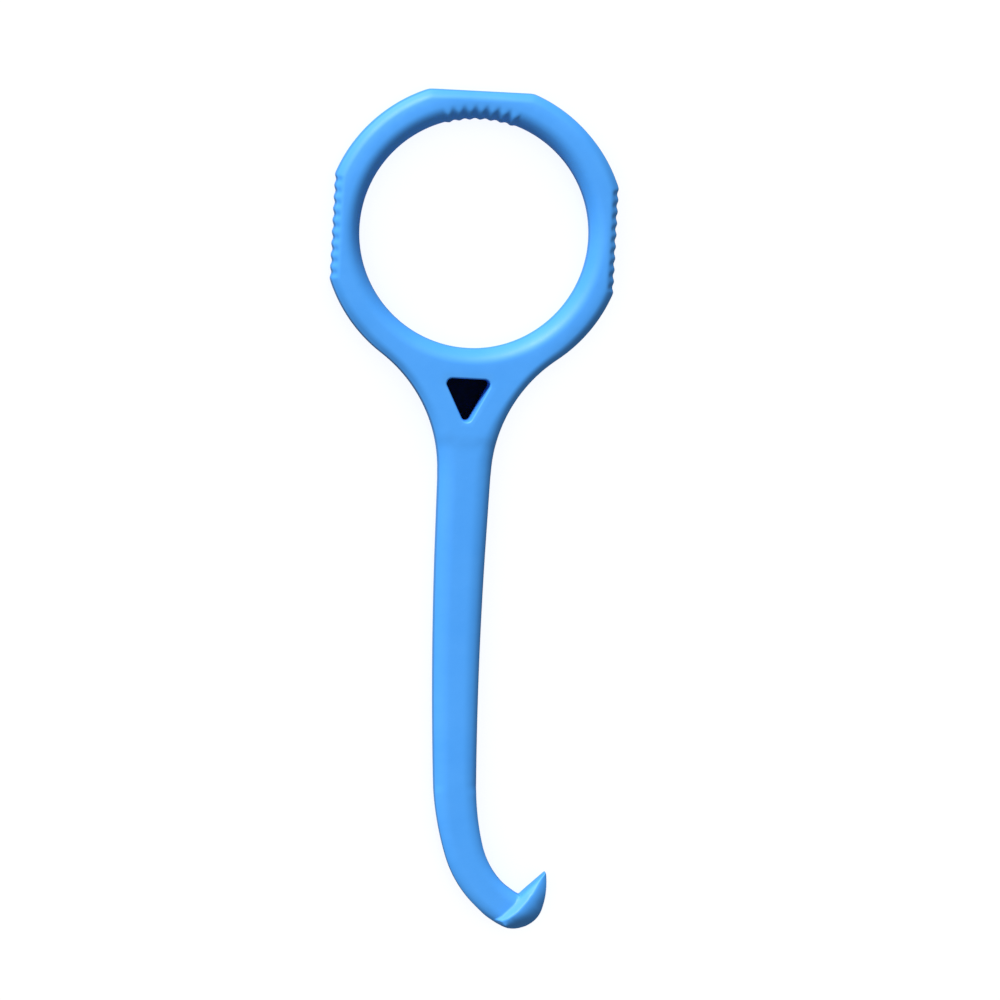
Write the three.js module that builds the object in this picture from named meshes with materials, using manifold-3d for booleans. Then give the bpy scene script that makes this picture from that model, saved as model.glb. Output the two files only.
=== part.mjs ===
// Hook-and-ring pull tool, moulded in one piece of blue plastic.
//
// A finger ring runs through a filleted neck into a slim shaft, which bends into a J-shaped hook
// with a claw. It is drawn about the centre of the ring, with the shaft running towards -Y and
// z = 0 on the parting plane half way through the thickness. The mesh is then moved so that the
// tool lies on z = 0 with the middle of its length over the origin. Sizes are in millimetres and
// angles in degrees.

import * as THREE from 'three';
import { mergeVertices } from 'three/addons/utils/BufferGeometryUtils.js';
import Module from 'manifold-3d';

const THICKNESS = 5;
const RING = { boreRadius: 12.4, outerRadius: 16.3, flatDistance: 15.3, steps: 96 };
const EDGE_CHAMFER = 0.9;
const BORE_CHAMFER = 1.3;
const NECK = { filletRadius: 15.6, filletSteps: 14, endLength: 0.4 };
const HOLE = { x: 0.1, top: -15.7, bottom: -20.2, width: 4.4, cornerRadius: 0.5, cornerSteps: 6 };
const FLAT_GROOVE = { count: 9, depth: 0.18, radius: 0.62, sides: 12, sink: 0.12 };
const BORE_RIB = { count: 7, pitch: 1.13, width: 0.56, height: 0.15, topHeight: 0.42 };

// The shaft and hook are one bar, swept along a line and three arcs that turn it to the right.
const BAR = {
  startX: 0.27,
  startY: -24,
  runs: [
    { length: 9.2 },
    { radius: 450, turn: 3.3 },
    { radius: 30, turn: 14.6 },
    { radius: 10.5, turn: 43.5 },
    { length: 0.4 },
  ],
  steps: 64,
  widths: [5.8, 4.7, 3.8],
  thicknesses: [4.8, 4.2, 3.6],
  roundWidth: 1.9,
  roundRadius: 2.2,
};
// The claw leans up and to the right. Its outer side is rounded from edge to crest, and its inner
// side is a facet that rises out of the bar's land to the same crest.
const CLAW = {
  lean: 45,
  arcRadius: 3.2,
  backRadius: 8.7,
  backStart: -17,
  roundWidth: 1.9,
  roundSteps: 6,
  wallHeight: 1.4,
  facetAngle: 48,
  facetRise: 0.55,
  segments: 80,
};
const CUTTER_SIZE = 40;
const OVERCUT = 1;

const wasm = await Module();
wasm.setup();

const halfThickness = THICKNESS / 2;
const { degToRad } = THREE.MathUtils;

// Points on an arc, from one angle to another, both ends included.
function arcPoints(centre, radius, start, end, steps) {
  const points = [];
  for (let i = 0; i <= steps; i += 1) {
    const angle = degToRad(start + ((end - start) * i) / steps);
    const offset = new THREE.Vector2(Math.cos(angle), Math.sin(angle)).multiplyScalar(radius);
    points.push(centre.clone().add(offset));
  }
  return points;
}

// Closed three.js geometry to a solid that can be joined and cut.
function toSolid(geometry) {
  const bare = geometry.clone();
  bare.deleteAttribute('normal');
  bare.deleteAttribute('uv');
  const merged = mergeVertices(bare);
  const index = merged.index.array;
  const triangles = [];
  for (let i = 0; i < index.length; i += 3) {
    const [a, b, c] = index.subarray(i, i + 3);
    if (a !== b && b !== c && c !== a) {
      triangles.push(a, b, c);
    }
  }
  return new wasm.Manifold(new wasm.Mesh({
    numProp: 3,
    vertProperties: new Float32Array(merged.attributes.position.array),
    triVerts: new Uint32Array(triangles),
  }));
}

function toGeometry(solid) {
  const mesh = solid.getMesh();
  const geometry = new THREE.BufferGeometry();
  geometry.setAttribute('position', new THREE.BufferAttribute(mesh.vertProperties, 3));
  geometry.setIndex(new THREE.BufferAttribute(mesh.triVerts, 1));
  geometry.computeVertexNormals();
  return geometry;
}

// Slab of a plan outline, centred on the parting plane, with a 45 degree chamfer on both faces.
function chamferedPlate(points, chamfer) {
  const geometry = new THREE.ExtrudeGeometry(new THREE.Shape(points), {
    depth: THICKNESS - 2 * chamfer,
    bevelSize: chamfer,
    bevelThickness: chamfer,
    bevelOffset: -chamfer,
    bevelSegments: 1,
  });
  return geometry.translate(0, 0, chamfer - halfThickness);
}

// Solid of revolution about a vertical axis. The profile is a list of [radius, z], rising in z.
function turnedSolid(profile, centre, segments) {
  const points = profile.map(([radius, z]) => new THREE.Vector2(radius, z));
  const geometry = new THREE.LatheGeometry(points, segments);
  return geometry.rotateX(Math.PI / 2).translate(centre.x, centre.y, 0);
}

// The bar's centreline: where it is, and how far it has turned from -Y towards +X.
function barStation(distance) {
  const place = new THREE.Vector2(BAR.startX, BAR.startY);
  let turned = 0;
  let left = distance;
  for (const { length, radius, turn } of BAR.runs) {
    const runLength = length ?? radius * degToRad(turn);
    const step = Math.min(left, runLength);
    const before = turned;
    if (radius) {
      turned += step / radius;
      place.x += radius * (Math.cos(before) - Math.cos(turned));
      place.y -= radius * (Math.sin(turned) - Math.sin(before));
    } else {
      place.x += step * Math.sin(turned);
      place.y -= step * Math.cos(turned);
    }
    left -= step;
  }
  return { place, turned };
}

function runLengths() {
  return BAR.runs.map(({ length, radius, turn }) => length ?? radius * degToRad(turn));
}

const [lineLength, bowLength, bendLength, hookLength, rootLength] = runLengths();
const shaftLength = lineLength + bowLength;
const hookEnd = shaftLength + bendLength + hookLength;
const barLength = hookEnd + rootLength;

// Value of a taper given at the start of the shaft, at its end and at the end of the hook.
function taper([start, middle, end], distance) {
  if (distance < shaftLength) {
    return start + ((middle - start) * distance) / shaftLength;
  }
  return middle + ((end - middle) * (distance - shaftLength)) / (hookEnd - shaftLength);
}

// Half of the bar's section: the wall, then the rounding up to the flat land.
function barQuarter() {
  const { roundWidth, roundRadius } = BAR;
  const halfWidth = BAR.widths[0] / 2;
  const halfHeight = BAR.thicknesses[0] / 2;
  const quarter = [];
  for (const inward of [0, roundWidth * 0.4, roundWidth]) {
    const across = roundWidth - inward;
    const drop = roundRadius - Math.sqrt(roundRadius ** 2 - across ** 2);
    quarter.push(new THREE.Vector2(halfWidth - inward, halfHeight - drop));
  }
  return quarter;
}

function barSection() {
  const upperRight = barQuarter();
  const upperLeft = upperRight.map(({ x, y }) => new THREE.Vector2(-x, y)).reverse();
  const upper = [...upperRight, ...upperLeft];
  const lower = upper.map(({ x, y }) => new THREE.Vector2(-x, -y));
  return new THREE.Shape([...upper, ...lower]);
}

// Shaft and hook: the section extruded straight, then bent along the centreline and tapered.
function makeBar() {
  const geometry = new THREE.ExtrudeGeometry(barSection(), {
    depth: barLength,
    steps: BAR.steps,
    bevelEnabled: false,
  });
  const position = geometry.attributes.position;
  for (let i = 0; i < position.count; i += 1) {
    const distance = position.getZ(i);
    const { place, turned } = barStation(distance);
    const across = (position.getX(i) * taper(BAR.widths, distance)) / BAR.widths[0];
    const up = (position.getY(i) * taper(BAR.thicknesses, distance)) / BAR.thicknesses[0];
    position.setXYZ(i, place.x + across * Math.cos(turned), place.y + across * Math.sin(turned), up);
  }
  return toSolid(geometry);
}

// Centre of a neck fillet that touches the ring's outside and the side of the shaft.
function filletCentre(side) {
  const x = BAR.startX + side * (BAR.widths[0] / 2 + NECK.filletRadius);
  const reach = RING.outerRadius + NECK.filletRadius;
  return new THREE.Vector2(x, -Math.sqrt(reach ** 2 - x ** 2));
}

// Ring and neck in plan, anticlockwise from the lower end of the right flat.
function ringOutline() {
  const centre = new THREE.Vector2(0, 0);
  const flatHalf = THREE.MathUtils.radToDeg(Math.acos(RING.flatDistance / RING.outerRadius));
  const left = filletCentre(-1);
  const right = filletCentre(1);
  const leftTouch = 360 + THREE.MathUtils.radToDeg(Math.atan2(left.y, left.x));
  const rightTouch = 360 + THREE.MathUtils.radToDeg(Math.atan2(right.y, right.x));
  const ringArc = (start, end) => {
    const steps = Math.ceil(((end - start) / 360) * RING.steps);
    return arcPoints(centre, RING.outerRadius, start, end, steps);
  };
  const { filletRadius, filletSteps, endLength } = NECK;
  const neckEnd = left.y - endLength;
  return [
    ...ringArc(flatHalf, 90 - flatHalf),
    ...ringArc(90 + flatHalf, 180 - flatHalf),
    ...ringArc(180 + flatHalf, leftTouch),
    ...arcPoints(left, filletRadius, leftTouch - 180, 0, filletSteps).slice(1),
    new THREE.Vector2(left.x + filletRadius, neckEnd),
    new THREE.Vector2(right.x - filletRadius, neckEnd),
    ...arcPoints(right, filletRadius, 180, rightTouch - 180, filletSteps).slice(0, -1),
    ...ringArc(rightTouch, 360 - flatHalf),
  ];
}

function boreCutter() {
  const flare = halfThickness + OVERCUT;
  const mouth = RING.boreRadius + BORE_CHAMFER + OVERCUT;
  const lip = halfThickness - BORE_CHAMFER;
  const profile = [
    [0, -flare],
    [mouth, -flare],
    [RING.boreRadius, -lip],
    [RING.boreRadius, lip],
    [mouth, flare],
    [0, flare],
  ];
  return toSolid(turnedSolid(profile, new THREE.Vector2(0, 0), RING.steps));
}

// Rounded triangle through the neck, pointing down the shaft.
function holeCutter() {
  const { cornerRadius, cornerSteps } = HOLE;
  const halfSpan = HOLE.width / 2 - cornerRadius;
  const upperY = HOLE.top - cornerRadius;
  const lowerY = HOLE.bottom + cornerRadius;
  const slope = THREE.MathUtils.radToDeg(Math.atan2(halfSpan, upperY - lowerY));
  const corner = (x, y, start, end) => (
    arcPoints(new THREE.Vector2(HOLE.x + x, y), cornerRadius, start, end, cornerSteps)
  );
  const outline = [
    ...corner(halfSpan, upperY, -slope, 90),
    ...corner(-halfSpan, upperY, 90, 180 + slope),
    ...corner(0, lowerY, 180 + slope, 360 - slope),
  ];
  const depth = THICKNESS + 2 * OVERCUT;
  const geometry = new THREE.ExtrudeGeometry(new THREE.Shape(outline), { depth, bevelEnabled: false });
  return toSolid(geometry.translate(0, 0, -depth / 2));
}

// One grip groove on a flat: a round cut straight down the edge and over both chamfers.
function grooveCutter(side, y) {
  const { radius, depth, sides, sink } = FLAT_GROOVE;
  const slopeX = RING.flatDistance - EDGE_CHAMFER / 2 + (radius - sink) * Math.SQRT1_2;
  const slopeZ = halfThickness - EDGE_CHAMFER / 2 + (radius - sink) * Math.SQRT1_2;
  const rods = [
    { tilt: 0, x: RING.flatDistance - depth + radius, z: 0 },
    { tilt: -Math.PI / 4, x: slopeX, z: slopeZ },
    { tilt: Math.PI / 4, x: slopeX, z: -slopeZ },
  ];
  const turn = side > 0 ? 0 : Math.PI;
  return rods.map(({ tilt, x, z }) => {
    const rod = new THREE.CylinderGeometry(radius, radius, 2 * THICKNESS, sides);
    rod.rotateX(Math.PI / 2).rotateY(tilt).translate(x, 0, z);
    return toSolid(rod.rotateZ(turn).translate(0, y, 0));
  }).reduce((joined, rod) => joined.add(rod));
}

// One rib inside the top of the bore, following the bore wall and its chamfers.
function boreRib(angle) {
  const { width, height, topHeight } = BORE_RIB;
  const inner = RING.boreRadius - height;
  const back = RING.boreRadius + BORE_CHAMFER + topHeight;
  const lip = halfThickness - BORE_CHAMFER;
  const mouth = RING.boreRadius + BORE_CHAMFER - topHeight;
  const profile = new THREE.Shape([
    new THREE.Vector2(inner, -lip),
    new THREE.Vector2(mouth, -halfThickness),
    new THREE.Vector2(back, -halfThickness),
    new THREE.Vector2(back, halfThickness),
    new THREE.Vector2(mouth, halfThickness),
    new THREE.Vector2(inner, lip),
  ]);
  const geometry = new THREE.ExtrudeGeometry(profile, { depth: width, bevelEnabled: false });
  geometry.translate(0, 0, -width / 2).rotateX(Math.PI / 2).rotateZ(angle);
  return toSolid(geometry);
}

function makeRing() {
  let ring = toSolid(chamferedPlate(ringOutline(), EDGE_CHAMFER));
  ring = ring.subtract(boreCutter()).subtract(holeCutter());
  const flatLength = 2 * Math.sqrt(RING.outerRadius ** 2 - RING.flatDistance ** 2);
  for (let i = 0; i < FLAT_GROOVE.count; i += 1) {
    const y = ((i + 0.5) / FLAT_GROOVE.count - 0.5) * flatLength;
    ring = ring.subtract(grooveCutter(1, y)).subtract(grooveCutter(-1, y));
  }
  for (let i = 0; i < BORE_RIB.count; i += 1) {
    const along = (i - (BORE_RIB.count - 1) / 2) * BORE_RIB.pitch;
    ring = ring.add(boreRib(Math.PI / 2 + along / RING.boreRadius));
  }
  return ring;
}

// Disc whose edge is a short wall with a rounding up to the crest on each face.
function roundedDisc(centre, radius) {
  const { roundWidth, roundSteps, wallHeight } = CLAW;
  const wall = wallHeight / 2;
  const upper = [];
  for (let i = 0; i <= roundSteps; i += 1) {
    const angle = (i / roundSteps) * (Math.PI / 2);
    const z = wall + (halfThickness - wall) * Math.sin(angle);
    upper.push([radius - roundWidth * (1 - Math.cos(angle)), z]);
  }
  upper.push([0, halfThickness]);
  const lower = upper.map(([r, z]) => [r, -z]).reverse();
  return toSolid(turnedSolid([...lower, ...upper], centre, CLAW.segments));
}

// Box that fills one side of a plane: its face holds the point, and the normal leads into it.
function halfSpace(point, normal) {
  const box = new THREE.BoxGeometry(CUTTER_SIZE, CUTTER_SIZE, CUTTER_SIZE);
  box.translate(0, 0, CUTTER_SIZE / 2);
  const turn = new THREE.Quaternion().setFromUnitVectors(new THREE.Vector3(0, 0, 1), normal);
  box.applyQuaternion(turn).translate(point.x, point.y, point.z);
  return toSolid(box);
}

// Centre of the claw's lower arc, which carries on from the outer side of the bar.
function clawCentre() {
  const { place, turned } = barStation(hookEnd);
  const inward = CLAW.arcRadius - taper(BAR.widths, hookEnd) / 2;
  return new THREE.Vector2(
    place.x + inward * Math.cos(turned),
    place.y + inward * Math.sin(turned),
  );
}

function makeClaw() {
  const centre = clawCentre();
  const start = degToRad(CLAW.backStart);
  const away = new THREE.Vector2(Math.cos(start), Math.sin(start));
  const backCentre = centre.clone().addScaledVector(away, CLAW.arcRadius - CLAW.backRadius);
  const junction = new THREE.Vector3(-away.y, away.x, 0);
  const tip = roundedDisc(backCentre, CLAW.backRadius)
    .intersect(halfSpace(new THREE.Vector3(centre.x, centre.y, 0), junction));
  let claw = roundedDisc(centre, CLAW.arcRadius).add(tip);

  // The inner wall runs through the arc's centre. Each facet rises away from it.
  const lean = degToRad(CLAW.lean);
  const out = new THREE.Vector3(Math.sin(lean), -Math.cos(lean), 0);
  const wallPoint = new THREE.Vector3(centre.x, centre.y, 0);
  claw = claw.intersect(halfSpace(wallPoint, out));
  const slope = degToRad(CLAW.facetAngle);
  const land = BAR.thicknesses[2] / 2;
  for (const face of [-1, 1]) {
    const crease = wallPoint.clone().addScaledVector(out, CLAW.facetRise).setZ(face * land);
    const normal = out.clone().multiplyScalar(-Math.sin(slope)).setZ(face * Math.cos(slope));
    claw = claw.subtract(halfSpace(crease, normal));
  }
  return claw;
}

const tool = new THREE.Mesh(
  toGeometry(makeRing().add(makeBar()).add(makeClaw())),
  new THREE.MeshStandardMaterial({ color: 0x48a2f9, roughness: 0.35, metalness: 0 }),
);
tool.name = 'aligner_hook';
const lowest = clawCentre().y - CLAW.arcRadius;
tool.position.set(0, -(RING.flatDistance + lowest) / 2, halfThickness);

const part = new THREE.Group();
part.add(tool);

export default part;
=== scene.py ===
import math

import bpy
import numpy as np
from mathutils import Matrix, Vector
from mathutils.geometry import delaunay_2d_cdt


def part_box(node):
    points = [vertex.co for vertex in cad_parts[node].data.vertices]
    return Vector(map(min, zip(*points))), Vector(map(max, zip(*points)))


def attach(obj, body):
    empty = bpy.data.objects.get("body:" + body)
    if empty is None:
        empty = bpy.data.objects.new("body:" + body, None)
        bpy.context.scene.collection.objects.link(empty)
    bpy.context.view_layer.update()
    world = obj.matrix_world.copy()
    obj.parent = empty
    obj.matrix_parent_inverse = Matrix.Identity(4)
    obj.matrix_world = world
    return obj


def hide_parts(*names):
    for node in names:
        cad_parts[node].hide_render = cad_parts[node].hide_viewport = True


# Looks of the hook-and-ring pull tool: one moulding of satin blue plastic.
#
# The plan is drawn in millimetres about the ring's centre, with the shaft running towards -Y and
# z = 0 on the parting plane. make_tool() puts it in the row frame, in metres.

NODE = "aligner_hook"
MM = 0.001

BORE_RADIUS = 12.36
OUTER_RADIUS = 16.3
FLAT_DISTANCE = 15.3
HALF_THICKNESS = 2.5

# The shaft's centreline: straight, then three arcs that turn it to the right. A run is (length,
# None) or (turn in degrees, radius). The table of its points goes on by the lead and the tail.
BAR_START = (0.27, -24.0)
BAR_RUNS = [(9.2, None), (3.3, 450.0), (14.6, 30.0), (43.5, 10.5)]
BAR_LEAD = 8.0
BAR_TAIL = 1.6
BAR_WIDTHS = (5.8, 4.7, 3.8)
BAR_THICKNESSES = (4.8, 4.2, 3.6)
STEP_DOWN = (-21.8, -23.2)
NECK_BLEND = (-17.0, -25.5)
HOOK_TOP = -60
FILLET_RADIUS = 15.6
# How steeply a surface goes on falling outside its own sides.
OUTSIDE_FALL = 3

# An edge is a list of arcs (radius, turn in degrees, steps) and lines (length, 0, steps), which
# turn it from the upright wall to the flat land.
RING_EDGE = [(0.2, 52, 3), (0.35, 0, 3), (1.0, 38, 5)]
BORE_EDGE = [(0.3, 25, 2), (2.5, 25, 3), (1.5, 40, 6)]
BAR_EDGE = [(0.35, 40, 3), (1.7, 28, 4), (3.0, 22, 4)]
HOLE_EDGE = [(0.2, 90, 5)]
RING_DOME = {"start": 14.5, "radius": 4.3, "end": 15.3, "fade": (-10.5, -14.0)}
DRAFT = 0.04
OUTLINE_TRIM = 0.05
PARTING_PROUD = 0.02
WALL_SHARES = (0.06, 0.5)

FLAT_RIB = {"valleys": 9, "depth": 0.16, "reach": (0.2, 0.8)}
BORE_RIB = {"count": 7, "pitch": math.radians(5.2), "half_width": 0.48, "wall": 0.15, "crease": 0.38}
HOLE = {"x": 0.1, "top": -15.65, "bottom": -20.1, "width": 4.5, "corner": 0.5}

CLAW = {
    "lean": math.radians(45),
    "wall": 0.22,
    "arc": 3.2,
    "back": 8.7,
    "back_start": math.radians(-17),
    "facet_slope": math.tan(math.radians(45)),
    "facet_foot": 0.2,
    "lip": 0.2,
    "lip_drop": 0.22,
    "tip_share": 0.65,
    "thinning": 3.0,
    "ridge_blend": 0.12,
    "band": 0.45,
}
# Past this distance from the facet's foot, the bar's surface sinks under the claw.
BAR_SINK = {"start": 0.45, "slope": 2.0}
# How soft the crease between the bar and the claw is, at places along the claw.
CREASE_ALONG = (-5.8, -4.6, -3.7)
CREASE_BLEND = (0.12, 0.16, 0.6)

# The mesh gets finer from the ring and shaft to the claw. FINE_MESH is where its outline changes
# over and FINE_LAND is where its land does, both measured out from the claw's inner wall. A patch
# of land is its lower left corner, its upper right corner, its spacing and its gap to the rims.
OUTLINE_SPACING = 0.05
RIB_SPACING = 0.125
SHAFT_SPACING = 0.42
FINER_BY = 0.32
FINE_MESH = (-2.6, -0.9)
FINE_LAND = -0.6
COARSE_PATCH = ((-16, -62), (16, 16), 0.7, 0.3)
MIDDLE_PATCH = ((-1, -76), (13, -62), 0.28, 0.16)
FINE_PATCH = ((5, -76), (13, -67), 0.11, 0.07)

# Studio, in metres and degrees.
FLOOR_RADIUS = 6.0
FLOOR_GAP = 0.00002
# The near-black card under the triangular hole is painted shade.
CARD_RADIUS = 0.0032
CARD_X = 0.0001
CARD_Y = -17.4
CARD_GAP = 0.00001
KEY_STRENGTH = 4.7
KEY_OFFSET = Vector((-0.42, 0.735, 0.53))
KEY_ANGLE = 30
OVERHEAD_STRENGTH = 2.8
OVERHEAD_ANGLE = 60
AMBIENT = 0.22
BACKDROP = 1.0
VIEW_CENTRE = (0.004315, 0.00115)
VIEW_LEAN = (-4.5, 3.5)
VIEW_ROLL = 3.05
VIEW_WIDTH = 0.1076
LENS = 300.0


def smoothstep(edge0, edge1, value):
    t = np.clip((np.asarray(value, float) - edge0) / (edge1 - edge0), 0, 1)
    return t * t * (3 - 2 * t)


def smooth_min(a, b, width):
    overlap = np.clip(width - np.abs(a - b), 0, None) / width
    return np.minimum(a, b) - overlap**2 * width / 4


def smooth_max(a, b, width):
    return -smooth_min(-a, -b, width)


def polar(radius, angle):
    return np.stack([radius * np.cos(angle), radius * np.sin(angle)], -1)


def arc(centre, radius, start, end):
    """Points on an arc, from one angle to the other."""
    count = max(2, math.ceil(abs(end - start) * radius / OUTLINE_SPACING))
    return np.asarray(centre) + polar(radius, np.linspace(start, end, count + 1))


def line(start, end):
    start, end = np.asarray(start, float), np.asarray(end, float)
    count = max(2, math.ceil(np.linalg.norm(end - start) / OUTLINE_SPACING))
    return start + (end - start) * np.linspace(0, 1, count + 1)[:, None]


# The bar: shaft and hook.


def run_length(amount, radius):
    return amount if radius is None else math.radians(amount) * radius


RUN_LENGTHS = [run_length(*run) for run in BAR_RUNS]
SHAFT_LENGTH = sum(RUN_LENGTHS[:2])
HOOK_END = sum(RUN_LENGTHS)


def bar_table(spacing=0.02):
    """Distance, place and turn of closely spaced points on the bar's centreline."""
    distance = np.arange(-BAR_LEAD, HOOK_END + BAR_TAIL, spacing)
    ends = np.cumsum(RUN_LENGTHS)
    curvature = np.zeros(len(distance))
    for (_, radius), end, length in zip(BAR_RUNS, ends, RUN_LENGTHS):
        if radius is not None:
            curvature[(distance >= end - length) & (distance < end)] = 1 / radius
    turned = np.cumsum(curvature) * spacing
    middle = turned - curvature * spacing / 2
    x = np.cumsum(np.sin(middle)) * spacing
    y = -np.cumsum(np.cos(middle)) * spacing
    start = np.searchsorted(distance, 0)
    place = np.stack([x - x[start] + BAR_START[0], y - y[start] + BAR_START[1]], -1)
    return distance, place, turned


BAR_DISTANCE, BAR_PLACE, BAR_TURNED = bar_table()


def bar_taper(values, distance):
    return np.interp(distance, [0, SHAFT_LENGTH, HOOK_END], values)


def bar_side(side, start, end):
    """Points on one side of the bar in plan: side is -1 for the outer side of the hook."""
    distance = np.arange(start, end, OUTLINE_SPACING)
    x = np.interp(distance, BAR_DISTANCE, BAR_PLACE[:, 0])
    y = np.interp(distance, BAR_DISTANCE, BAR_PLACE[:, 1])
    turned = np.interp(distance, BAR_DISTANCE, BAR_TURNED)
    half = side * bar_taper(BAR_WIDTHS, distance) / 2
    return np.stack([x + half * np.cos(turned), y + half * np.sin(turned)], -1)


def bar_station(points):
    """Distance along the bar and offset across it of points in plan."""
    nearest = np.empty(len(points), int)
    for first in range(0, len(points), 500):
        block = points[first : first + 500]
        gaps = ((block[:, None, :] - BAR_PLACE[None, ::5, :]) ** 2).sum(-1)
        nearest[first : first + 500] = gaps.argmin(1) * 5
    offset = points - BAR_PLACE[nearest]
    turned = BAR_TURNED[nearest]
    along = offset[:, 0] * np.sin(turned) - offset[:, 1] * np.cos(turned)
    across = offset[:, 0] * np.cos(turned) + offset[:, 1] * np.sin(turned)
    return BAR_DISTANCE[nearest] + along, across


def edge_profile(runs, refine=1):
    """Inward distance and depth below the land, from the top of the wall to the land."""
    points = [(0.0, 0.0)]
    heading = math.pi / 2
    for size, turn, steps in runs:
        steps *= refine
        for _ in range(steps):
            bend = math.radians(turn) / steps
            length = 2 * size * math.sin(bend / 2) if turn else size / steps
            heading -= bend / 2
            x, z = points[-1]
            points.append((x + length * math.cos(heading), z + length * math.sin(heading)))
            heading -= bend / 2
    profile = np.array(points)
    profile[:, 1] = profile[-1, 1] - profile[:, 1]
    return profile


RING_PROFILE = edge_profile(RING_EDGE)
BORE_PROFILE = edge_profile(BORE_EDGE)
BAR_PROFILE = edge_profile(BAR_EDGE)
HOLE_PROFILE = edge_profile(HOLE_EDGE)
FINE_BAR_PROFILE = edge_profile(BAR_EDGE, 8)


def ring_dome(points):
    """How far the ring's face falls away towards its outer edge."""
    past = np.linalg.norm(points, axis=-1) - RING_DOME["start"]
    curved = np.clip(past, 0, RING_DOME["end"] - RING_DOME["start"])
    straight = np.clip(past - curved, 0, OUTER_RADIUS - RING_DOME["end"])
    drop = (curved**2 / 2 + curved * straight) / RING_DOME["radius"]
    return drop * (1 - smoothstep(*RING_DOME["fade"], points[..., 1]))


def land_height(points, distance):
    """Height of the flat land above the parting plane."""
    bar = bar_taper(BAR_THICKNESSES, distance) / 2
    step = smoothstep(STEP_DOWN[0], STEP_DOWN[1], points[:, 1])
    return HALF_THICKNESS + (bar - HALF_THICKNESS) * step - ring_dome(points)


def bar_height(points):
    """Height of the bar's surface, falling steeply outside its sides."""
    distance, across = bar_station(points)
    wide = bar_taper(BAR_WIDTHS, distance) / BAR_WIDTHS[0]
    tall = bar_taper(BAR_THICKNESSES, distance) / BAR_THICKNESSES[0]
    inward = BAR_WIDTHS[0] / 2 - np.abs(across) / wide
    drop = np.interp(inward, FINE_BAR_PROFILE[:, 0], FINE_BAR_PROFILE[:, 1])
    drop = drop + OUTSIDE_FALL * np.clip(-inward, 0, None)
    return land_height(points, distance) - drop * tall


# The claw, which leans up and to the right from the end of the hook. Its coordinates run out from
# the inner wall and along it towards the tip.


def claw_out(points):
    return points[..., 0] * math.sin(CLAW["lean"]) - points[..., 1] * math.cos(CLAW["lean"])


def claw_along(points):
    return points[..., 0] * math.cos(CLAW["lean"]) + points[..., 1] * math.sin(CLAW["lean"])


def claw_centres():
    end = np.searchsorted(BAR_DISTANCE, HOOK_END)
    inward = CLAW["arc"] - BAR_WIDTHS[2] / 2
    lower = BAR_PLACE[end] + polar(inward, BAR_TURNED[end])
    return lower, lower + polar(CLAW["arc"] - CLAW["back"], CLAW["back_start"]), BAR_TURNED[end]


CLAW_CENTRE, BACK_CENTRE, HOOK_TURN = claw_centres()
CLAW_WALL = claw_out(CLAW_CENTRE) + CLAW["wall"]


def back_angle_at_tip():
    reach = (CLAW_WALL - claw_out(BACK_CENTRE)) / CLAW["back"]
    return math.acos(reach) + CLAW["lean"] - math.pi / 2


CLAW_TIP = BACK_CENTRE + polar(CLAW["back"], back_angle_at_tip())

# Along the claw, from its heel to its tip: height of its ridge, how far in from the outer side the
# ridge runs, and how far the surface falls from the ridge to the outer wall.
CLAW_ALONG = (-7.9, -7.6, -7.1, -6.4, -6.0, -5.15, -4.1, -3.4, -2.6, -1.55, -0.8, 0.0)
CLAW_RIDGE = (1.1, 1.35, 2.12, 2.39, 2.45, 2.5, 2.41, 2.33, 2.1, 1.6, 1.25, 0.95)
CLAW_INSET = (0.08, 0.1, 0.25, 1.14, 1.56, 1.94, 2.05, 1.81, 1.43, 0.95, 0.6, 0.1)
CLAW_DROP = (0.5, 0.5, 0.65, 1.2, 1.4, 1.32, 1.03, 0.93, 0.8, 0.4, 0.22, 0.1)


def claw_height(points):
    """Height of the claw: a rounded outer side and a facet that rises from the inner wall."""
    from_lower = CLAW["arc"] - np.linalg.norm(points - CLAW_CENTRE, axis=-1)
    from_back = CLAW["back"] - np.linalg.norm(points - BACK_CENTRE, axis=-1)
    offset = points - CLAW_CENTRE
    past = offset[:, 1] * math.cos(CLAW["back_start"]) - offset[:, 0] * math.sin(CLAW["back_start"])
    inward = np.where(past > 0, from_back, from_lower)
    along = claw_along(points) - claw_along(CLAW_TIP)
    ridge, inset, drop = (
        np.interp(along, CLAW_ALONG, row) for row in (CLAW_RIDGE, CLAW_INSET, CLAW_DROP)
    )
    rounded = ridge - drop * (1 - np.clip(inward / inset, 0, 1)) ** 2
    rounded = rounded - OUTSIDE_FALL * np.clip(-inward, 0, None)
    out = claw_out(points) - CLAW_WALL
    thin = np.interp(along, [-CLAW["thinning"], 0.0], [1.0, CLAW["tip_share"]])
    facet = (BAR_THICKNESSES[2] / 2 + (out - CLAW["facet_foot"]) * CLAW["facet_slope"]) * thin
    lip = np.clip(out / CLAW["lip"], 0, 1)
    facet = facet - CLAW["lip_drop"] + CLAW["lip_drop"] * np.sqrt(1 - (1 - lip) ** 2)
    return smooth_min(rounded, facet, CLAW["ridge_blend"]), along


def hook_height(points):
    """Height of the bar and claw together: the crease between them softens towards the tip."""
    claw, along = claw_height(points)
    blend = np.interp(along, CREASE_ALONG, CREASE_BLEND)
    past_foot = claw_out(points) - CLAW_WALL - CLAW["facet_foot"]
    sink = BAR_SINK["slope"] * np.clip(past_foot - BAR_SINK["start"], 0, None)
    return smooth_max(bar_height(points) - sink, claw, blend)


# Plan outline of the tool.


def fillet_centre(side):
    x = BAR_START[0] + side * (BAR_WIDTHS[0] / 2 + FILLET_RADIUS)
    return np.array([x, -math.sqrt((OUTER_RADIUS + FILLET_RADIUS) ** 2 - x**2)])


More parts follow.
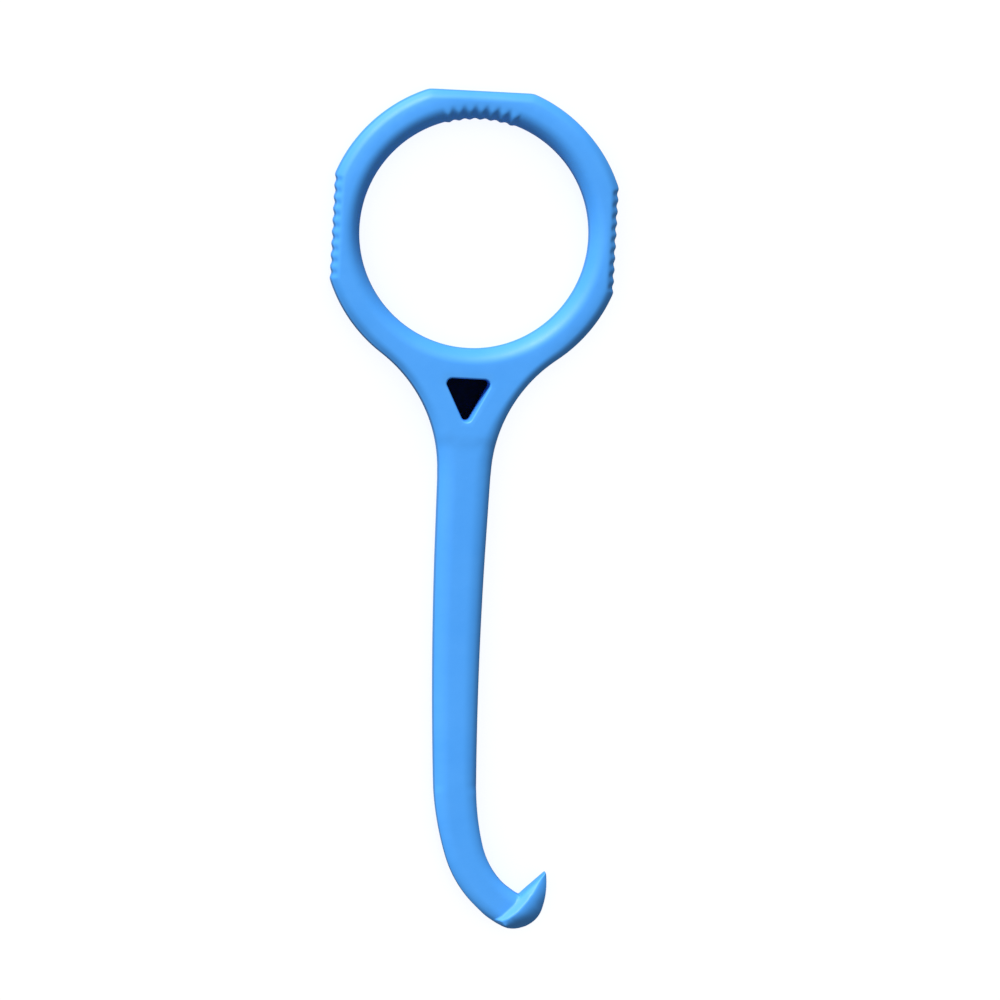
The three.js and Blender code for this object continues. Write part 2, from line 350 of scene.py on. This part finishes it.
def dense_outline():
    """The whole outline, anticlockwise from the lower end of the right flat."""
    flat = math.acos(FLAT_DISTANCE / OUTER_RADIUS)
    quarter = math.pi / 2
    left, right = fillet_centre(-1), fillet_centre(1)
    left_touch = 2 * math.pi + math.atan2(left[1], left[0])
    right_touch = 2 * math.pi + math.atan2(right[1], right[0])
    outer = bar_side(-1, BAR_START[1] - left[1], HOOK_END)
    inner = bar_side(1, BAR_START[1] - right[1], HOOK_END + BAR_TAIL / 2)
    inner = inner[claw_out(inner) < CLAW_WALL]
    turns = [turn * quarter + way * flat for turn in range(3) for way in (-1, 1)]
    corner = [polar(OUTER_RADIUS, turn) for turn in turns]
    pieces = [
        line(corner[0], corner[1]),
        arc((0, 0), OUTER_RADIUS, flat, quarter - flat),
        line(corner[2], corner[3]),
        arc((0, 0), OUTER_RADIUS, quarter + flat, 2 * quarter - flat),
        line(corner[4], corner[5]),
        arc((0, 0), OUTER_RADIUS, 2 * quarter + flat, left_touch),
        arc(left, FILLET_RADIUS, left_touch - 2 * quarter, 0),
        outer,
        arc(CLAW_CENTRE, CLAW["arc"], HOOK_TURN - 2 * quarter, CLAW["back_start"]),
        arc(BACK_CENTRE, CLAW["back"], CLAW["back_start"], back_angle_at_tip()),
        line(CLAW_TIP, inner[-1]),
        inner[::-1],
        arc(right, FILLET_RADIUS, 2 * quarter, right_touch - 2 * quarter),
        arc((0, 0), OUTER_RADIUS, right_touch, 4 * quarter - flat),
    ]
    points = np.concatenate(pieces)
    gaps = np.linalg.norm(points - np.roll(points, 1, 0), axis=1)
    return points[gaps > 0.01]


def resample(points, spacing):
    """Points round a closed line, as far apart as spacing says at each of its points."""
    closed = np.concatenate([points, points[:1]])
    steps = np.linalg.norm(np.diff(closed, axis=0), axis=1)
    wanted = np.concatenate([[0], np.cumsum(steps / spacing)])
    count = round(wanted[-1])
    at = np.arange(count) * wanted[-1] / count
    return np.stack([np.interp(at, wanted, closed[:, k]) for k in range(2)], -1)


def soften(points, sigma):
    """Rounds the corners of a closed, evenly spaced line by a moving average."""
    reach = math.ceil(3 * sigma.max() / OUTLINE_SPACING)
    total = np.zeros_like(points)
    weights = np.zeros(len(points))
    for k in range(-reach, reach + 1):
        weight = np.exp(-0.5 * (k * OUTLINE_SPACING / sigma) ** 2)
        total += np.roll(points, k, 0) * weight[:, None]
        weights += weight
    return total / weights[:, None]


def inward_normals(points):
    tangent = np.roll(points, -1, 0) - np.roll(points, 1, 0)
    tangent /= np.linalg.norm(tangent, axis=1)[:, None]
    return np.stack([-tangent[:, 1], tangent[:, 0]], -1)


def in_claw(points):
    """0 on the shaft, rising to 1 where the claw's surface needs its own fine mesh."""
    out = claw_out(points) - CLAW_WALL
    return np.where(points[:, 1] < HOOK_TOP, smoothstep(*FINE_MESH, out), 0.0)


def outer_loop():
    """Rows of points from the parting plane over the outer edge to the land."""
    dense = dense_outline()
    even = resample(dense, np.full(len(dense), OUTLINE_SPACING))
    fine = in_claw(even)
    even = soften(even, 0.2 - 0.12 * fine)
    even = even + inward_normals(even) * (OUTLINE_TRIM * (1 - fine))[:, None]
    ribbed = (np.abs(even[:, 0]) > FLAT_DISTANCE - 0.3) & (np.abs(even[:, 1]) < 6)
    spacing = np.where(ribbed, RIB_SPACING, SHAFT_SPACING - FINER_BY * in_claw(even))
    points = resample(even, spacing)
    normals = inward_normals(points)
    distance, _ = bar_station(points)
    distance = np.where(points[:, 1] > NECK_BLEND[0], -BAR_LEAD, distance)
    wide = (bar_taper(BAR_WIDTHS, distance) / BAR_WIDTHS[0])[:, None]
    tall = (bar_taper(BAR_THICKNESSES, distance) / BAR_THICKNESSES[0])[:, None]
    neck = smoothstep(NECK_BLEND[0], NECK_BLEND[1], points[:, 1])[:, None]
    claw = in_claw(points)[:, None]

    land = land_height(points, distance)[:, None]
    inward = RING_PROFILE[:, 0] * (1 - neck) + BAR_PROFILE[:, 0] * wide * neck
    height = land - RING_PROFILE[:, 1] * (1 - neck) - BAR_PROFILE[:, 1] * tall * neck

    from_tip = np.linalg.norm(points - CLAW_TIP, axis=1)[:, None]
    band = np.minimum(CLAW["band"], 0.035 + 0.22 * from_tip)
    share = 1 - np.cos(np.linspace(0, math.pi / 2, len(BAR_PROFILE)))
    inward = inward * (1 - claw) + band * share * claw

    ribs = flat_rib_depth(points)[:, None]
    inward = inward + ribs * (1 - smoothstep(*FLAT_RIB["reach"], inward))
    draft = DRAFT * (1 - claw)
    plan = points[:, None] + normals[:, None] * (inward + draft * height)[..., None]
    height = height + ring_dome(points)[:, None] - ring_dome(plan)
    lower = points[:, 1] < HOOK_TOP
    for k in range(plan.shape[1]):
        height[lower, k] = hook_height(plan[lower, k])
    wall_inward = ribs * np.ones(len(WALL_SHARES))
    return add_wall(points, normals, plan, height, wall_inward, draft)


def flat_rib_depth(points):
    """How far the grooves between the ribs cut into the left and right flats."""
    half = math.sqrt(OUTER_RADIUS**2 - FLAT_DISTANCE**2)
    wave = 0.5 - 0.5 * np.cos(math.pi * FLAT_RIB["valleys"] * (points[:, 1] / half + 1))
    on_flat = (np.abs(points[:, 0]) > FLAT_DISTANCE - 0.3) & (np.abs(points[:, 1]) < half)
    return np.where(on_flat, FLAT_RIB["depth"] * wave, 0.0)


def add_wall(points, normals, plan, height, wall_inward, draft):
    """Puts the parting plane and the wall's rows in front of the rows over the edge."""
    top = height[:, :1]
    shares = np.array(WALL_SHARES)
    wall_height = top * shares
    wall_plan = points[:, None] + normals[:, None] * (wall_inward + draft * wall_height)[..., None]
    proud = points + normals * (wall_inward[:, :1] - PARTING_PROUD)
    plan = np.concatenate([proud[:, None], wall_plan, plan], 1)
    height = np.concatenate([np.zeros_like(top), wall_height, height], 1)
    return plan, height


def bore_loop():
    """Rows from the parting plane over the bore's edge to the land, with the ribs at its top."""
    half_span = (BORE_RIB["count"] + 1) / 2 * BORE_RIB["pitch"]
    fine = np.linspace(math.pi / 2 - half_span, math.pi / 2 + half_span, 97)
    coarse = np.linspace(math.pi / 2 + half_span, math.pi / 2 - half_span + 2 * math.pi, 181)[1:-1]
    angle = np.concatenate([fine, coarse])[::-1]
    turn = (angle - math.pi / 2) / BORE_RIB["pitch"]
    nearest = np.clip(np.round(turn), -(BORE_RIB["count"] // 2), BORE_RIB["count"] // 2)
    gap = np.clip(np.abs(turn - nearest) / BORE_RIB["half_width"], 0, 1)
    rib = (np.cos(math.pi * gap / 2) ** 2)[:, None]
    points = polar(BORE_RADIUS, angle)
    normals = polar(1.0, angle)
    inward = BORE_PROFILE[:, 0]
    crease = inward[-1] * 0.7
    rise = np.interp(inward, [0, crease, inward[-1]], [BORE_RIB["wall"], BORE_RIB["crease"], 0])
    inward = inward - rib * rise
    height = np.tile(HALF_THICKNESS - BORE_PROFILE[:, 1], (len(angle), 1))
    plan = points[:, None] + normals[:, None] * (inward + DRAFT * height)[..., None]
    wall_inward = -rib * BORE_RIB["wall"] * np.ones(len(WALL_SHARES))
    return add_wall(points, normals, plan, height, wall_inward, DRAFT)


def hole_loop():
    """Rows of the triangular hole's edge, clockwise so that the material is on its left."""
    half = HOLE["width"] / 2 - HOLE["corner"]
    upper = HOLE["top"] - HOLE["corner"]
    lower = HOLE["bottom"] + HOLE["corner"]
    slope = math.atan2(half, upper - lower)
    corners = [
        arc((HOLE["x"] + half, upper), HOLE["corner"], -slope, math.pi / 2),
        arc((HOLE["x"] - half, upper), HOLE["corner"], math.pi / 2, math.pi + slope),
        arc((HOLE["x"], lower), HOLE["corner"], math.pi + slope, 2 * math.pi - slope),
    ]
    sides = [line(corners[k][-1], corners[(k + 1) % 3][0])[1:-1] for k in range(3)]
    ring = np.concatenate([piece for pair in zip(corners, sides) for piece in pair])[::-1]
    points = resample(ring, np.full(len(ring), 0.12))
    normals = inward_normals(points)
    inward = HOLE_PROFILE[:, 0]
    height = np.tile(HALF_THICKNESS - HOLE_PROFILE[:, 1], (len(points), 1))
    plan = points[:, None] + normals[:, None] * (inward + DRAFT * height)[..., None]
    wall_inward = np.zeros((len(points), len(WALL_SHARES)))
    return add_wall(points, normals, plan, height, wall_inward, DRAFT)


# Mesh.


def inside(points, loops):
    """Which points are within the closed loops, by counting the edges to their right."""
    crossings = np.zeros(len(points), int)
    for loop in loops:
        for (x0, y0), (x1, y1) in zip(loop, np.roll(loop, -1, 0)):
            spans = (points[:, 1] < y0) != (points[:, 1] < y1)
            height = np.where(spans, points[:, 1], y0)
            meet = x0 + (x1 - x0) * (height - y0) / ((y1 - y0) or 1)
            crossings += spans & (points[:, 0] < meet)
    return crossings % 2 == 1


def lattice(low, high, spacing):
    """Triangular lattice of points over a rectangle."""
    rows = np.arange(low[1], high[1], spacing * math.sqrt(3) / 2)
    points = []
    for k, y in enumerate(rows):
        x = np.arange(low[0] + (k % 2) * spacing / 2, high[0], spacing)
        points.append(np.stack([x, np.full(len(x), y)], -1))
    return np.concatenate(points)


def clear_of(points, loops, gap):
    """The points at least gap away from every loop's points."""
    rim = np.concatenate(loops)
    keep = np.ones(len(points), bool)
    for first in range(0, len(points), 500):
        block = points[first : first + 500]
        nearest = ((block[:, None] - rim[None]) ** 2).sum(-1).min(1)
        keep[first : first + 500] = nearest > gap**2
    return points[keep]


def land_points(loops):
    """Points inside the land: coarse on the ring and shaft, and fine on the claw."""
    patches = (COARSE_PATCH, MIDDLE_PATCH, FINE_PATCH)
    coarse, middle, fine = (lattice(*patch[:3]) for patch in patches)
    middle = middle[claw_out(middle) - CLAW_WALL < FINE_LAND]
    fine = fine[claw_out(fine) - CLAW_WALL >= FINE_LAND]
    kept = []
    for points, patch in zip((coarse, middle, fine), patches):
        kept.append(clear_of(points[inside(points, loops)], loops, patch[3]))
    return np.concatenate(kept)


def surface_height(points):
    distance, _ = bar_station(points)
    distance = np.where(points[:, 1] > NECK_BLEND[0], -BAR_LEAD, distance)
    height = land_height(points, distance)
    lower = points[:, 1] < HOOK_TOP
    height[lower] = hook_height(points[lower])
    return height


def upper_half(loops):
    """Vertices and faces of the half above the parting plane, and which vertices lie on it."""
    vertices, faces, on_plane, rims, starts = [], [], [], [], []
    for plan, height in loops:
        count, rows = height.shape
        first = len(vertices)
        vertices += np.concatenate([plan, height[..., None]], -1).reshape(-1, 3).tolist()
        on_plane += [k == 0 for _ in range(count) for k in range(rows)]
        for i in range(count):
            a, b = first + i * rows, first + (i + 1) % count * rows
            faces += [(a + k, b + k, b + k + 1, a + k + 1) for k in range(rows - 1)]
        rims.append(plan[:, -1])
        starts.append(range(first + rows - 1, first + count * rows, rows))
    filling = land_points(rims)
    index = [i for ids in starts for i in ids]
    index += range(len(vertices), len(vertices) + len(filling))
    vertices += np.column_stack([filling, surface_height(filling)]).tolist()
    on_plane += [False] * len(filling)

    flat = np.concatenate([*rims, filling])
    edges, first = [], 0
    for rim in rims:
        edges += [(first + i, first + (i + 1) % len(rim)) for i in range(len(rim))]
        first += len(rim)
    result = delaunay_2d_cdt([Vector(p) for p in flat], edges, [], 0, 1e-7, True)
    corners, triangles, origins = result[0], result[2], result[3]
    middles = np.array([np.mean([corners[i] for i in t], axis=0) for t in triangles])
    for triangle, kept in zip(triangles, inside(middles, rims)):
        if kept:
            faces.append(tuple(index[origins[i][0]] for i in triangle))
    return np.array(vertices), faces, np.array(on_plane)


def whole_mesh(vertices, faces, on_plane):
    """The upper half and its mirror image, joined on the parting plane."""
    twin = np.where(on_plane, np.arange(len(vertices)), -1)
    twin[~on_plane] = len(vertices) + np.arange((~on_plane).sum())
    mirrored = vertices[~on_plane] * (1, 1, -1)
    lower = [tuple(int(twin[i]) for i in reversed(face)) for face in faces]
    return np.concatenate([vertices, mirrored]), faces + lower


def crest_values(mesh):
    """How strongly each vertex sits on a convex edge, from 0 to 1."""
    count = len(mesh.vertices)
    place = np.empty(count * 3)
    normal = np.empty(count * 3)
    mesh.vertices.foreach_get("co", place)
    mesh.vertices.foreach_get("normal", normal)
    place, normal = place.reshape(-1, 3), normal.reshape(-1, 3)
    pair = np.empty(len(mesh.edges) * 2, int)
    mesh.edges.foreach_get("vertices", pair)
    a, b = pair.reshape(-1, 2).T
    span = place[b] - place[a]
    bend = ((normal[b] - normal[a]) * span).sum(1) / (span**2).sum(1)
    strongest = np.zeros(count)
    np.maximum.at(strongest, a, bend)
    np.maximum.at(strongest, b, bend)
    return np.clip(strongest * 0.3 * MM, 0, 1)


def make_tool():
    low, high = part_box(NODE)
    origin = Vector(((low.x + high.x) / 2, high.y - FLAT_DISTANCE * MM, (low.z + high.z) / 2))
    loops = [outer_loop(), bore_loop(), hole_loop()]
    vertices, faces = whole_mesh(*upper_half(loops))
    mesh = bpy.data.meshes.new("pull_tool")
    mesh.from_pydata((vertices * MM + np.array(origin)).tolist(), [], faces)
    mesh.validate()
    mesh.shade_smooth()
    crest = mesh.attributes.new("crest", "FLOAT", "POINT")
    crest.data.foreach_set("value", crest_values(mesh).astype(np.float32))
    tool = bpy.data.objects.new("pull_tool", mesh)
    bpy.context.scene.collection.objects.link(tool)
    return tool


# Materials.


class Nodes:
    """Short calls for building a node tree."""

    def __init__(self, tree):
        self.tree = tree

    def add(self, kind):
        return self.tree.nodes.new(kind)

    def link(self, source, target):
        self.tree.links.new(source, target)


def noise(nodes, where, scale, detail, roughness):
    node = nodes.add("ShaderNodeTexNoise")
    node.inputs["Scale"].default_value = scale
    node.inputs["Detail"].default_value = detail
    node.inputs["Roughness"].default_value = roughness
    nodes.link(where, node.inputs["Vector"])
    return node.outputs["Fac"]


def remap(nodes, value, low, high, to_low, to_high):
    node = nodes.add("ShaderNodeMapRange")
    node.inputs["From Min"].default_value = low
    node.inputs["From Max"].default_value = high
    node.inputs["To Min"].default_value = to_low
    node.inputs["To Max"].default_value = to_high
    nodes.link(value, node.inputs["Value"])
    return node.outputs["Result"]


def math_node(nodes, operation, a, b):
    node = nodes.add("ShaderNodeMath")
    node.operation = operation
    for socket, value in zip(node.inputs, (a, b)):
        if isinstance(value, (int, float)):
            socket.default_value = value
        else:
            nodes.link(value, socket)
    return node.outputs[0]


def mix_colour(nodes, factor, a, b):
    node = nodes.add("ShaderNodeMix")
    node.data_type = "RGBA"
    nodes.link(factor, node.inputs["Factor"])
    for socket, value in ((node.inputs["A"], a), (node.inputs["B"], b)):
        if isinstance(value, tuple):
            socket.default_value = (*value, 1.0)
        else:
            nodes.link(value, socket)
    return node.outputs["Result"]


def plastic_material():
    """Satin blue moulded plastic: faint mottling, orange peel, fine grain and rubbed edges."""
    material = bpy.data.materials.new("blue_plastic")
    material.use_nodes = True
    nodes = Nodes(material.node_tree)
    shader = material.node_tree.nodes["Principled BSDF"]
    where = nodes.add("ShaderNodeTexCoord").outputs["Object"]
    crest = nodes.add("ShaderNodeAttribute")
    crest.attribute_name = "crest"

    cloud = noise(nodes, where, 160.0, 4.0, 0.55)
    grain = noise(nodes, where, 9000.0, 2.0, 0.7)
    peel = noise(nodes, where, 1100.0, 2.0, 0.5)
    smudge = noise(nodes, where, 420.0, 5.0, 0.6)

    patches = remap(nodes, smudge, 0.4, 0.65, 0.2, 1.0)
    rubbed = math_node(nodes, "MULTIPLY", crest.outputs["Fac"], patches)
    mottling = remap(nodes, cloud, 0.35, 0.65, 0.0, 1.0)
    mottled = mix_colour(nodes, mottling, (0.060, 0.350, 0.935), (0.068, 0.368, 0.955))
    fading = remap(nodes, rubbed, 0.0, 1.0, 0.0, 0.25)
    worn = mix_colour(nodes, fading, mottled, (0.12, 0.46, 0.97))
    nodes.link(worn, shader.inputs["Base Color"])

    roughness = remap(nodes, smudge, 0.3, 0.7, 0.49, 0.59)
    fine = remap(nodes, grain, 0.3, 0.7, -0.025, 0.025)
    roughness = math_node(nodes, "ADD", roughness, fine)
    polish = math_node(nodes, "MULTIPLY", rubbed, 0.06)
    roughness = math_node(nodes, "SUBTRACT", roughness, polish)
    nodes.link(roughness, shader.inputs["Roughness"])
    shader.inputs["IOR"].default_value = 1.49

    first = nodes.add("ShaderNodeBump")
    first.inputs["Strength"].default_value = 0.35
    first.inputs["Distance"].default_value = 0.00002
    nodes.link(peel, first.inputs["Height"])
    second = nodes.add("ShaderNodeBump")
    second.inputs["Strength"].default_value = 0.25
    second.inputs["Distance"].default_value = 0.000004
    nodes.link(grain, second.inputs["Height"])
    nodes.link(first.outputs["Normal"], second.inputs["Normal"])
    nodes.link(second.outputs["Normal"], shader.inputs["Normal"])
    return material


def plain_material(name, colour, roughness):
    material = bpy.data.materials.new(name)
    material.use_nodes = True
    shader = material.node_tree.nodes["Principled BSDF"]
    shader.inputs["Base Color"].default_value = (*colour, 1.0)
    shader.inputs["Roughness"].default_value = roughness
    return material


# Stage, lights and camera.


def make_disc(name, centre, radius, material, segments=64):
    mesh = bpy.data.meshes.new(name)
    plan = np.array(centre[:2]) + polar(radius, 2 * math.pi * np.arange(segments) / segments)
    rim = [(x, y, centre[2]) for x, y in plan.tolist()]
    mesh.from_pydata(rim, [], [tuple(range(segments))])
    mesh.materials.append(material)
    disc = bpy.data.objects.new(name, mesh)
    bpy.context.scene.collection.objects.link(disc)
    return disc


def only_lights(light, name, *objects):
    """The light reaches these objects and no others."""
    group = bpy.data.collections.new(name)
    for obj in objects:
        group.objects.link(obj)
    light.light_linking.receiver_collection = group


def aim(obj, place, target, up):
    """Puts a light or camera at a place, looking at the target."""
    back = (Vector(place) - Vector(target)).normalized()
    right = Vector(up).cross(back).normalized()
    rotation = Matrix((right, back.cross(right), back)).transposed()
    obj.matrix_world = Matrix.Translation(place) @ rotation.to_4x4()


def make_light(name, kind, energy, place, target, **settings):
    data = bpy.data.lights.new(name, kind)
    data.energy = energy
    for key, value in settings.items():
        setattr(data, key, value)
    light = bpy.data.objects.new(name, data)
    bpy.context.scene.collection.objects.link(light)
    aim(light, place, target, (0, 1, 0))
    return light


def make_world(ambient, seen):
    """Soft white surroundings that the camera sees brighter than they light the tool."""
    world = bpy.data.worlds.new("studio")
    world.use_nodes = True
    bpy.context.scene.world = world
    nodes = Nodes(world.node_tree)
    background = world.node_tree.nodes["Background"]
    background.inputs["Color"].default_value = (1, 1, 1, 1)
    path = nodes.add("ShaderNodeLightPath")
    strength = remap(nodes, path.outputs["Is Camera Ray"], 0, 1, ambient, seen)
    nodes.link(strength, background.inputs["Strength"])


def make_camera(target, lean, roll, lens, width):
    """Camera nearly straight above, leaning to one side, with the tool turned clockwise."""
    data = bpy.data.cameras.new("camera")
    data.lens = lens
    data.clip_start = 0.01
    distance = lens / data.sensor_width * width
    camera = bpy.data.objects.new("camera", data)
    bpy.context.scene.collection.objects.link(camera)
    offset = Vector((math.tan(lean[0]), math.tan(lean[1]), 1)).normalized() * distance
    aim(camera, target + offset, target, (-math.sin(roll), math.cos(roll), 0))
    bpy.context.scene.camera = camera


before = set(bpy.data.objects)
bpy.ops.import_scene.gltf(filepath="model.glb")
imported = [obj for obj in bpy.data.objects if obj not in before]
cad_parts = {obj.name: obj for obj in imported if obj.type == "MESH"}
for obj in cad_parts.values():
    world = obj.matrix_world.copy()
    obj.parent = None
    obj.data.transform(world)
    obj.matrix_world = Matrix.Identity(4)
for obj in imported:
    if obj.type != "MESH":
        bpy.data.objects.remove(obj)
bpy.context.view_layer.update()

tool = make_tool()
tool.data.materials.append(plastic_material())
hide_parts(NODE)
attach(tool, "root")

low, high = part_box(NODE)
centre = (low + high) / 2

# A near-black card on the floor under the triangular hole: painted shade that darkens the hole as
# deep shadow would.
painted_shade_black = plain_material("painted_shade_black", (0.002, 0.004, 0.012), 0.9)
shade_card_centre = (CARD_X, high.y - (FLAT_DISTANCE - CARD_Y) * MM, low.z - CARD_GAP)
make_disc("hole_painted_shade", shade_card_centre, CARD_RADIUS, painted_shade_black)

floor_white = plain_material("floor_white", (0.93, 0.93, 0.93), 0.7)
floor = make_disc("floor", (0, 0, low.z - FLOOR_GAP), FLOOR_RADIUS, floor_white)
floor.visible_diffuse = False
floor.visible_glossy = False

# The key lights the tool alone and the overhead light the floor alone, and the tool doesn't block
# the overhead light, so neither casts the tool's shadow on the floor.
key = make_light(
    "key", "SUN", KEY_STRENGTH, centre + KEY_OFFSET, centre, angle=math.radians(KEY_ANGLE)
)
only_lights(key, "lit_by_key", tool)
above = centre + Vector((0, 0, 1))
overhead = make_light(
    "overhead", "SUN", OVERHEAD_STRENGTH, above, centre, angle=math.radians(OVERHEAD_ANGLE)
)
only_lights(overhead, "lit_by_overhead", floor)
overhead.light_linking.blocker_collection = overhead.light_linking.receiver_collection
make_world(AMBIENT, BACKDROP)
lean = [math.radians(angle) for angle in VIEW_LEAN]
view_centre = Vector((*VIEW_CENTRE, centre.z))
make_camera(view_centre, lean, math.radians(VIEW_ROLL), LENS, VIEW_WIDTH)

scene = bpy.context.scene
scene.view_settings.view_transform = "Standard"
